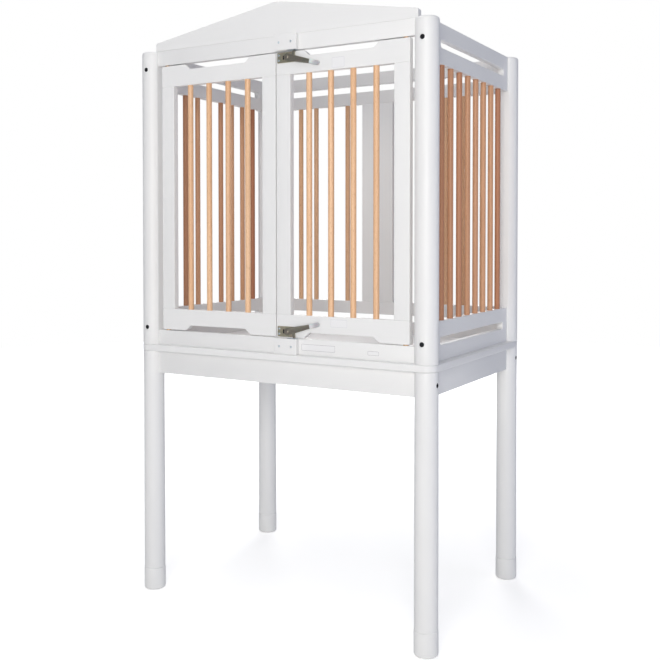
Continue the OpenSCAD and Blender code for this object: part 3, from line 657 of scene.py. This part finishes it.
for side in ("left", "right"):
    low, high = nodeBox(side + "_bars")
    sideMiddle = (low[0] + high[0]) / 2
    bars(side + "Bars", side + "_bars", "frame",
         [(sideMiddle, y) for y in spread(side + "_bars", 1, barSizes["sideCount"])],
         barSizes["sideShadedTones"])
low, high = nodeBox("back_bars")
boardHigh = nodeBox("back_centre_board")[1][0]
backHalf = np.linspace(boardHigh + barSizes["backGap"], high[0] - barSizes["radius"],
                       barSizes["backHalf"])
bars("backBars", "back_bars", "frame",
     [(sign * x, (low[1] + high[1]) / 2) for sign in (-1, 1) for x in backHalf],
     barSizes["backTones"])
print("pediment and bars made")


doorSizes = {"rounding": 0.0015, "corner": 0.0025, "notchInset": 0.0875, "notchDepth": 0.016,
             "notchRamp": 0.026, "rampSteps": 14}


def notchedOutline(low, high, up, sizes):
    # a rectangle whose outer edge dips into a long notch; each ramp is half a cosine wave
    outline = roundedRect(low, high, sizes["corner"])
    half = (high[0] - low[0]) / 2 - sizes["notchInset"]
    turn = np.linspace(0, 1, sizes["rampSteps"] + 1)
    across = half - sizes["notchRamp"] * turn
    dip = sizes["notchDepth"] * (1 - np.cos(math.pi * turn)) / 2
    ramp = np.column_stack([across, -dip])
    notch = np.vstack([ramp, ramp[::-1] * [-1, 1]])
    middle = (low[0] + high[0]) / 2
    arc = len(outline) // 4
    if up:
        notch = notch + [middle, high[1]]
        return np.vstack([outline[:2 * arc], notch, outline[2 * arc:]])
    notch = notch[::-1] * [1, -1] + [middle, low[1]]
    return np.vstack([outline, notch])


for side in ("left", "right"):
    body = side + "_door"
    for end in ("top", "bottom"):
        node = body + "_" + end + "_rail"
        low, high = nodeBox(node)
        outline = notchedOutline(low[[0, 2]], high[[0, 2]], end == "top", doorSizes)
        addWood(side + "Door" + end.capitalize() + "Rail",
                plate(outline, low[1], high[1], doorSizes["rounding"], "xzy"), "x", node, body)
    for stile in ("hinge", "closing"):
        node = body + "_" + stile + "_stile"
        addWood(side + "Door" + stile.capitalize() + "Stile",
                board(*nodeBox(node), "z", doorSizes["rounding"]), "z", node, body)
    low, high = nodeBox(body + "_bars")
    bars(side + "DoorBars", body + "_bars", body,
         [(x, (low[1] + high[1]) / 2) for x in spread(body + "_bars", 0, barSizes["doorCount"])],
         barSizes["doorTones"])
print("doors made")


hingeSizes = {
    "pin": 0.004, "ease": 0.0004,
    "washer": 0.008, "washerBore": 0.00402, "washerEase": 0.0003, "washerPlay": 0.0004,
    "cornerLess": 0.00001,   # keeps a corner arc just under half the square it rounds
    "arcSteps": 10,
}


def roundOutline(x, y, radius, sizes=hingeSizes):
    return roundedRect((x - radius, y - radius), (x + radius, y + radius),
                       radius - sizes["cornerLess"], sizes["arcSteps"])


low, high = nodeBox("hinge_pins")
pinY = (low[1] + high[1]) / 2
pinShapes, washerShapes = [], []
railLevels = [(nodeBox("front_bottom_rail")[1][2], nodeBox("right_door_bottom_rail")[0][2], 1),
              (nodeBox("front_top_rail")[0][2], nodeBox("right_door_top_rail")[1][2], -1)]
pinReach = high[2] - railLevels[1][0]
for x in (low[0] + hingeSizes["pin"], high[0] - hingeSizes["pin"]):
    for railLevel, doorLevel, sign in railLevels:
        ends = sorted([railLevel - sign * pinReach, doorLevel + sign * pinReach])
        r, ease = hingeSizes["pin"], hingeSizes["ease"]
        pinShapes.append(turned([(r - ease, ends[0]), (r, ends[0] + ease), (r, ends[1] - ease),
                                 (r - ease, ends[1])], (x, pinY, 0)))
        thick = abs(doorLevel - railLevel) - hingeSizes["washerPlay"]
        faces = sorted([railLevel, railLevel + sign * thick])
        washerShapes.append(framedPlate(roundOutline(x, pinY, hingeSizes["washer"]),
                                        roundOutline(x, pinY, hingeSizes["washerBore"]),
                                        *faces, hingeSizes["washerEase"], "xyz"))
addPiece("hingePins", pinShapes, "frame", "brass", brass, ["hinge_pins"])
addPiece("hingeWashers", washerShapes, "frame", "brass", brass, ["hinge_washers"])


strikeSizes = {
    "corner": 0.0018, "rounding": 0.0015, "mostInset": 0.0017,
    "pocketWide": 0.018, "pocketNear": 0.001, "pocketDeep": 0.005, "pocketTall": 0.012,
    "pocketCorner": 0.0005,
    "plateThick": 0.0012, "plateCorner": 0.0008, "plateEase": 0.00025, "screwPitch": 0.041,
}
screwSizes = {
    "radius": 0.00325, "tall": 0.0016, "middle": 0.06, "rings": 15,
    "fall": 0.55,            # share of its height that the head loses towards its rim
    "cross": 0.0017, "slot": 0.00042, "deep": 0.0009,
    "slotEdge": 1.25, "slotSoft": 0.3,
}


def panHead(centre, sizes=screwSizes, around=48):
    # a domed head on a polar grid, facing forwards, pressed in where the arms of the cross lie
    radius = sizes["radius"] * np.linspace(sizes["middle"], 1, sizes["rings"])[::-1]
    angle = fullTurn(around)
    across, upward = radius[:, None] * np.cos(angle), radius[:, None] * np.sin(angle)
    fall = sizes["fall"] * (radius / sizes["radius"]) ** 4
    dome = sizes["tall"] * (1 - fall)[:, None] + 0 * angle
    arm = np.minimum(np.maximum(np.abs(across) / sizes["cross"], np.abs(upward) / sizes["slot"]),
                     np.maximum(np.abs(upward) / sizes["cross"], np.abs(across) / sizes["slot"]))
    dome = dome - sizes["deep"] * np.clip((sizes["slotEdge"] - arm) / sizes["slotSoft"], 0, 1)
    rings = np.stack([across, -dome, upward], axis=-1)
    foot = rings[0] * [1, 0, 1]
    return shell(np.array(centre) + np.concatenate([[foot], rings]))


leverNear = nodeBox("top_latch_lever")[0][1]
plateLow, plateHigh = nodeBox("strike_plates")
noseMiddle = (plateLow[0] + plateHigh[0]) / 2
strikeShapes, strikeScrews = [], []
for end, sign in (("top", 1), ("bottom", -1)):
    low, high = nodeBox(end + "_strike_block")
    mouth, roof = (low[2], high[2]) if sign > 0 else (high[2], low[2])
    outline = roundedRect(low[:2], high[:2], strikeSizes["corner"])
    pocketY = leverNear - strikeSizes["pocketNear"]
    pocketHalf = strikeSizes["pocketWide"] / 2
    pocket = roundedRect((noseMiddle - pocketHalf, pocketY),
                         (noseMiddle + pocketHalf, pocketY + strikeSizes["pocketDeep"]),
                         strikeSizes["pocketCorner"])
    gap, level = edgeCourse(mouth, roof, strikeSizes["rounding"])
    rings = [lift(pocket, mouth + sign * strikeSizes["pocketTall"], "xyz"),
             lift(pocket, mouth, "xyz")]
    rings += [lift(inset(outline, min(g, strikeSizes["mostInset"])), z, "xyz")
              for g, z in zip(gap, level)]
    addWood(end + "StrikeBlock", shell(np.stack(rings)), "x", end + "_strike_block")
    under = sorted([mouth, mouth - sign * strikeSizes["plateThick"]])
    plateOutline = roundedRect(plateLow[:2], plateHigh[:2], strikeSizes["plateCorner"])
    strikeShapes.append(framedPlate(plateOutline, pocket, *under, strikeSizes["plateEase"], "xyz"))
    for step in (-0.5, 0.5):
        strikeScrews.append(panHead(((low[0] + high[0]) / 2 + step * strikeSizes["screwPitch"],
                                     low[1], (low[2] + high[2]) / 2)))
addPiece("strikePlates", strikeShapes, "frame", "bright_screws", screwSteel, ["strike_plates"])
addPiece("strikeScrews", strikeScrews, "frame", "bright_screws", screwSteel, ["strike_screws"])
print("hinges and strikes made")


leverSizes = {
    "rest": 14,              # degrees away from the rail
    "rootHalf": 0.0105, "endHalf": 0.0052, "length": 0.090, "thick": 0.003,
    "rootStart": 12,         # degrees round the root where its first ring lies
    "rootRings": 12, "taperFrom": 0.004, "taperRings": 16,
    "groove": 0.0006, "grooveHalf": 0.70, "grooveSoft": 0.16,
    "grooveFrom": (0.006, 0.012), "grooveBack": (0.018, 0.010),
    "noseFrom": 0.015, "noseTo": 0.023, "noseFoot": 0.004, "noseTip": 0.0215,
    "noseCorner": 0.001, "noseInside": 0.0002, "noseEase": 0.0004,
}
gripSizes = {
    "from": 0.078, "to": 0.111, "half": 0.0064, "wall": 0.0016, "corner": 0.55,
    "arcSteps": 7, "straightRings": 8, "tipRings": 12, "tipTurn": 84, "tipPower": 0.45,
    "lip": 0.0008, "lipAcross": 0.93, "lipDeep": 0.84,
}
plateSizes = {
    "thick": 0.002, "corner": 0.003, "ease": 0.0003,
    "slotAcross": 0.0055, "slotUp": 0.012, "slotAt": -0.0155, "slotCorner": 0.001,
    "screwInset": 0.0055, "screwUp": 0.0075,
    # a thin black sheet inside the slot, its faces this far out from the door's face: painted
    # shade for the dark hole
    "shadeSheet": (0.0001, 0.0008), "shadeSheetPlay": 0.00005, "shadeSheetEase": 0.0001,
}
pivotSizes = {
    "shank": 0.003,
    # the head's radius, and level over its underside
    "head": [(0.0055, 0), (0.0055, 0.0007), (0.0050, 0.0013), (0.0038, 0.0018), (0.0015, 0.002)],
    "boss": (0.0062, 0.0060, 0.0056, 0.0053), "bossFoot": 0.0002, "bossEase": 0.0003,
}


def leverPlacer(pivot, back, sign, degrees):
    # from a lever's own directions, along, across and outwards, to the door's
    lean = math.radians(degrees)

    def put(points):
        along, across, out = points[..., 0], points[..., 1], points[..., 2]
        upward = -along * math.sin(lean) + across * math.cos(lean)
        return np.stack([pivot[0] + along * math.cos(lean) + across * math.sin(lean),
                         back - out, pivot[1] + sign * upward], axis=-1)
    return put


def leverStrip(sizes=leverSizes):
    # a closed section carried from root to tip: a half circle at the root, then a straight taper;
    # its front has a shallow pressed channel
    root = np.linspace(math.radians(sizes["rootStart"]), math.pi / 2, sizes["rootRings"])
    taper = np.linspace(sizes["taperFrom"], sizes["length"], sizes["taperRings"])
    along = np.concatenate([-sizes["rootHalf"] * np.cos(root), taper])
    half = np.concatenate([sizes["rootHalf"] * np.sin(root),
                           np.interp(taper, [0, sizes["length"]],
                                     [sizes["rootHalf"], sizes["endHalf"]])])
    # places across the half width, closer together at the eased edge and the channel's side
    side = np.array([1, 0.97, 0.9, 0.74, 0.66, 0.58, 0.5, 0.25])
    unit = np.concatenate([side, [0], -side[::-1]])
    edge = np.interp(np.abs(unit), [0.9, 0.97, 1], [1, 0.93, 0.75])
    channel = np.clip((sizes["grooveHalf"] - np.abs(unit)) / sizes["grooveSoft"], 0, 1)
    stops = [*sizes["grooveFrom"], *(sizes["length"] - back for back in sizes["grooveBack"])]
    fade = np.interp(along, stops, [0, 1, 1, 0])
    front = sizes["thick"] * edge - sizes["groove"] * channel * fade[:, None]
    back = sizes["thick"] * (1 - edge[::-1]) + 0 * fade[:, None]
    across = np.concatenate([half[:, None] * unit, half[:, None] * unit[::-1]], axis=1)
    out = np.concatenate([front, back], axis=1)
    return np.stack([along[:, None] + 0 * across, across, out], axis=-1)


def gripSleeve(sizes=gripSizes, inside=leverSizes["thick"] / 2):
    # a rounded rectangle section carried along the grip, closing in a half circle at the tip
    tipFrom = sizes["to"] - sizes["half"]
    straight = np.linspace(sizes["from"], tipFrom, sizes["straightRings"])
    straight[0] += sizes["lip"]
    turn = np.linspace(0, math.radians(sizes["tipTurn"]), sizes["tipRings"])[1:]
    full = np.ones(sizes["straightRings"])
    along = np.concatenate([[sizes["from"]], straight, tipFrom + sizes["half"] * np.sin(turn)])
    wide = np.concatenate([[sizes["lipAcross"]], full, np.cos(turn)])
    deep = np.concatenate([[sizes["lipDeep"]], full, np.cos(turn) ** sizes["tipPower"]])
    section = roundedRect((-1, -1), (1, 1), sizes["corner"], sizes["arcSteps"])
    across = section[:, 0] * wide[:, None] * sizes["half"]
    out = inside + section[:, 1] * deep[:, None] * (inside + sizes["wall"])
    return np.stack([along[:, None] + 0 * across, across, out], axis=-1)


def turnedOutwards(profile, x, z):
    # a profile of radius and y, carried round an axis that points out of the door
    points, faces = turned([(radius, -y) for radius, y in profile], (0, 0, 0))
    return np.column_stack([x + points[:, 0], -points[:, 2], z + points[:, 1]]), faces


pivotLow, pivotHigh = nodeBox("latch_pivots")
pivotX = (pivotLow[0] + pivotHigh[0]) / 2
face = nodeBox("right_door_top_rail")[0][1]
plateFace = face - plateSizes["thick"]
headRadius, headTall = pivotSizes["head"][0][0], pivotSizes["head"][-1][1]
headBack = pivotLow[1] + headTall
pivotShapes, plateScrews, slotShadeShapes = [], [], []
for end, sign in (("top", 1), ("bottom", -1)):
    pivotZ = pivotHigh[2] - headRadius if sign > 0 else pivotLow[2] + headRadius
    low, high = nodeBox(end + "_latch_plate")
    leverBack = nodeBox(end + "_latch_lever")[1][1]
    # plate with its slot, and the boss that carries the lever
    slotMiddle = (pivotX + plateSizes["slotAt"], pivotZ)
    slotHalf = np.array([plateSizes["slotAcross"], plateSizes["slotUp"]]) / 2
    slot = roundedRect(slotMiddle - slotHalf, slotMiddle + slotHalf, plateSizes["slotCorner"])
    outline = roundedRect(low[[0, 2]], high[[0, 2]], plateSizes["corner"])
    ease = pivotSizes["bossEase"]
    bossLevels = (face, plateFace - pivotSizes["bossFoot"], leverBack + 2 * ease, leverBack + ease)
    addPiece(end + "LatchPlate",
             [framedPlate(outline, slot, face, plateFace, plateSizes["ease"], "xzy"),
              turnedOutwards(zip(pivotSizes["boss"], bossLevels), pivotX, pivotZ)],
             "right_door", "zinc_steel", zinc, [end + "_latch_plate"])
    # a thin black sheet in the slot: painted shade for the dark hole behind it
    shadeBack, shadeFront = plateSizes["shadeSheet"]
    slotShadeShapes.append(plate(inset(slot, plateSizes["shadeSheetPlay"]), face - shadeBack, face - shadeFront,
                            plateSizes["shadeSheetEase"], "xzy", 2))
    # lever with its nose
    put = leverPlacer((pivotX, pivotZ), leverBack, sign, leverSizes["rest"])
    noseOutline = roundedRect((leverSizes["noseFrom"], leverSizes["noseFoot"]),
                              (leverSizes["noseTo"], leverSizes["noseTip"]),
                              leverSizes["noseCorner"], 4)
    nosePoints, noseFaces = plate(noseOutline, leverSizes["noseInside"],
                                  leverSizes["thick"] - leverSizes["noseInside"],
                                  leverSizes["noseEase"], "xyz", 2)
    addPiece(end + "LatchLever", [shell(put(leverStrip())), (put(nosePoints), noseFaces)],
             end + "_latch", "zinc_steel", leverZinc, [end + "_latch_lever"])
    # grip
    sleeve = gripSleeve()
    share = (sleeve[..., 0] - gripSizes["from"]) / (gripSizes["to"] - gripSizes["from"])
    addPiece(end + "LatchGrip", [shell(put(sleeve))], end + "_latch", "milky_plastic", milky,
             [end + "_latch_grip"], along=share.ravel())
    # pivot head and plate screws
    profile = [(pivotSizes["shank"], face), (pivotSizes["shank"], headBack)]
    profile += [(radius, headBack - level) for radius, level in pivotSizes["head"]]
    pivotShapes.append(turnedOutwards(profile, pivotX, pivotZ))
    for x in (low[0] + plateSizes["screwInset"], high[0] - plateSizes["screwInset"]):
        for up in (-1, 1):
            plateScrews.append(panHead((x, plateFace, pivotZ + up * plateSizes["screwUp"])))
addPiece("latchPivots", pivotShapes, "right_door", "zinc_steel", leverZinc, ["latch_pivots"])
addPiece("latchScrews", plateScrews, "right_door", "bright_screws", screwSteel, ["latch_screws"])
# the black sheets in the plates' slots are painted shade, not a real part
addPiece("latchSlotShade", slotShadeShapes, "right_door", "black_bolts", blackOxide)
print("latches made")


boltSizes = {
    "head": 0.0065, "tall": 0.006, "sunk": 0.0005, "foot": 0.0003,
    "shank": 0.003, "past": 0.030,      # how far the shank goes on beyond the post's middle
    "socket": 0.00364, "socketDeep": 0.003, "mouth": 0.0003,
    # how far in and down each ring of the head's rounded rim lies
    "rim": [(0, 0.0008), (0.0006, 0.0001), (0.0010, 0)],
}


def socketBolt(centre, out, radius, sizes=boltSizes, around=48):
    # a round head whose face gives way to a six-sided socket; out points away from the post
    angle = fullTurn(around)
    six = sizes["socket"] * math.cos(math.pi / 6) / np.cos((angle % (math.pi / 3)) - math.pi / 6)
    top = radius - sizes["sunk"]
    under = top - sizes["tall"]
    ring = np.ones(around)
    course = [(sizes["shank"] * ring, -sizes["past"]), (sizes["shank"] * ring, under),
              ((sizes["head"] - sizes["foot"]) * ring, under),
              (sizes["head"] * ring, under + sizes["foot"])]
    course += [((sizes["head"] - drawn) * ring, top - down) for drawn, down in sizes["rim"]]
    course += [(six + sizes["mouth"], top), (six, top - sizes["mouth"]),
               (six, top - sizes["socketDeep"])]
    side = np.array([-out[1], out[0], 0])
    rings = [np.array(centre) + level * np.array(out) + reach[:, None] * (
        np.cos(angle)[:, None] * side + np.sin(angle)[:, None] * np.array([0, 0, 1]))
        for reach, level in course]
    return shell(np.stack(rings))


boltShapes = []
for corner, sideX, sideY in corners:
    centre = postCentre(corner, sideX, sideY)
    boltShapes += [socketBolt((*centre, level), (0, sideY, 0), postSizes["radius"])
                   for level in sideMids]
    boltShapes.append(socketBolt((*centre, apronMid), (sideX, 0, 0), legSizes["radius"]))
addPiece("frameBolts", boltShapes, "frame", "black_bolts", blackOxide, ["frame_bolts"])


labelSizes = {
    "thick": 0.00015, "lift": 0.00002, "corner": 0.0035, "backInset": 0.0001,
    "rings": (0, 0, 0.0002, 0.0011, 0.0014, 0.0017, 0.0019, 0.0022),
}
labels = {      # body, then left, right, bottom and top
    "railLabel": ("frame", 0.086, 0.199, 0.7955, 0.816),
    "railMark": ("frame", 0.301, 0.338, 0.7955, 0.809),
    "doorTopLabel": ("right_door", 0.187, 0.229, 1.595, 1.626),
    "doorBottomLabel": ("right_door", 0.183, 0.238, 0.867, 0.891),
}
frontFace = nodeBox("front_bottom_rail")[0][1]
for name, (body, left, right, bottom, top) in labels.items():
    outline = roundedRect((left, bottom), (right, top), labelSizes["corner"], 4)
    near = frontFace + labelSizes["lift"]
    insets = [labelSizes["backInset"], *labelSizes["rings"][1:]]
    levels = [near] + [near - labelSizes["thick"]] * (len(insets) - 1)
    rings = [lift(inset(outline, gap), level, "xzy") for gap, level in zip(insets, levels)]
    gaps = np.repeat(labelSizes["rings"], len(outline))
    sticker = doorSticker if body == "right_door" else railSticker
    addPiece(name, [shell(np.stack(rings))], body, "lacquered_wood", sticker, edgeGap=gaps)
print("bolts and labels made")


keptFinishes = {"barrel_nuts": screwSteel, "corner_studs": screwSteel, "frame_dowels": beech,
                "left_door_dowels": beech, "right_door_dowels": beech}
for node, finish in keptFinishes.items():
    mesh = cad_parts[node].data
    mesh.materials.clear()
    mesh.materials.append(finish)


studio = {
    "floorAround": 96, "floorRings": (0.5, 1.5, 3.2, 7.0), "floorTone": (0.90, 0.895, 0.885),
    "floorGlow": (0.44, 0.85),      # seen near the piece and far from it
    "glowEdge": (2.0, 1.2),         # where it turns, and how softly
    "aim": (0, 0, 1.1),
    "backdrop": (1.0, 1.0, 1.0), "ambient": (0.88, 0.92, 1.07), "ambientPower": 0.27,
    "lights": [("key", (1.9, -4.5, 1.8), 2.6, 129, (1.0, 0.98, 0.94)),
               ("top", (-0.5, -0.8, 4.6), 3.2, 42, (1.0, 1.0, 1.0)),
               ("side", (4.6, 0.9, 0.9), 2.4, 20, (0.74, 0.82, 1.15)),
               ("back", (-2.4, 4.6, 2.2), 3.0, 115, (1.0, 0.995, 0.98))],
}

floorAngle = fullTurn(studio["floorAround"])
floorRings = np.stack([
    np.column_stack([reach * np.cos(floorAngle), reach * np.sin(floorAngle), 0 * floorAngle])
    for reach in studio["floorRings"]])
floorPoints, floorFaces = shell(floorRings)
floorMesh = bpy.data.meshes.new("floor")
floorMesh.from_pydata(floorPoints.tolist(), [], floorFaces[:-1])
floorPaint = Paint("paleFloor", Roughness=0.9, Specular_IOR_Level=0.1, Emission_Strength=1.0)
floorDrift = floorPaint.noise((0.8, 0.8, 0.8), detail=1.0)
fromMiddle = floorPaint.add("ShaderNodeVectorMath", {"operation": "LENGTH"},
                            {0: floorPaint.place()}, output="Value")
nearGlow, farGlow = studio["floorGlow"]
floorPaint.wear(
    Base_Color=floorPaint.mix(floorDrift, studio["floorTone"],
                              tuple(tone * 0.99 for tone in studio["floorTone"])),
    Emission_Color=floorPaint.mix(fromMiddle.over(*studio["glowEdge"]),
                                  (nearGlow,) * 3, (farGlow,) * 3))
# the glow is only seen: it lights nothing, so the legs keep their shade
matte = floorPaint.add("ShaderNodeBsdfDiffuse", None, {"Color": studio["floorTone"]})
seen = floorPaint.add("ShaderNodeLightPath", output="Is Camera Ray")
both = floorPaint.add("ShaderNodeMixShader", None,
                      {0: seen, 1: matte, 2: Wire(floorPaint, floorPaint.shader.outputs[0])})
floorPaint.fill(floorPaint.tree.nodes["Material Output"], {"Surface": both})
floorMesh.materials.append(floorPaint.material)
floor = bpy.data.objects.new("floor", floorMesh)
bpy.context.collection.objects.link(floor)

# the white backdrop is what is seen behind the piece; a dimmer, cooler sky lights it
world = bpy.data.worlds.new("studio")
world.use_nodes = True
sky = world.node_tree
backdrop, ambient = sky.nodes["Background"], sky.nodes.new("ShaderNodeBackground")
backdrop.inputs["Color"].default_value = (*studio["backdrop"], 1)
ambient.inputs["Color"].default_value = (*studio["ambient"], 1)
ambient.inputs["Strength"].default_value = studio["ambientPower"]
blend, paths = sky.nodes.new("ShaderNodeMixShader"), sky.nodes.new("ShaderNodeLightPath")
sky.links.new(paths.outputs["Is Camera Ray"], blend.inputs["Fac"])
sky.links.new(ambient.outputs["Background"], blend.inputs[1])
sky.links.new(backdrop.outputs["Background"], blend.inputs[2])
sky.links.new(blend.outputs["Shader"], sky.nodes["World Output"].inputs["Surface"])
bpy.context.scene.world = world
bpy.context.scene.view_settings.view_transform = "Standard"

for name, place, size, power, tint in studio["lights"]:
    lamp = bpy.data.lights.new(name, "AREA")
    lamp.shape, lamp.size, lamp.energy, lamp.color = "DISK", size, power, tint
    light = bpy.data.objects.new(name, lamp)
    light.location = place
    aim = np.array(studio["aim"]) - np.array(place)
    light.rotation_euler = (math.acos(-aim[2] / np.linalg.norm(aim)), 0,
                            math.atan2(aim[1], aim[0]) - math.pi / 2)
    bpy.context.collection.objects.link(light)
print("floor and lights placed")
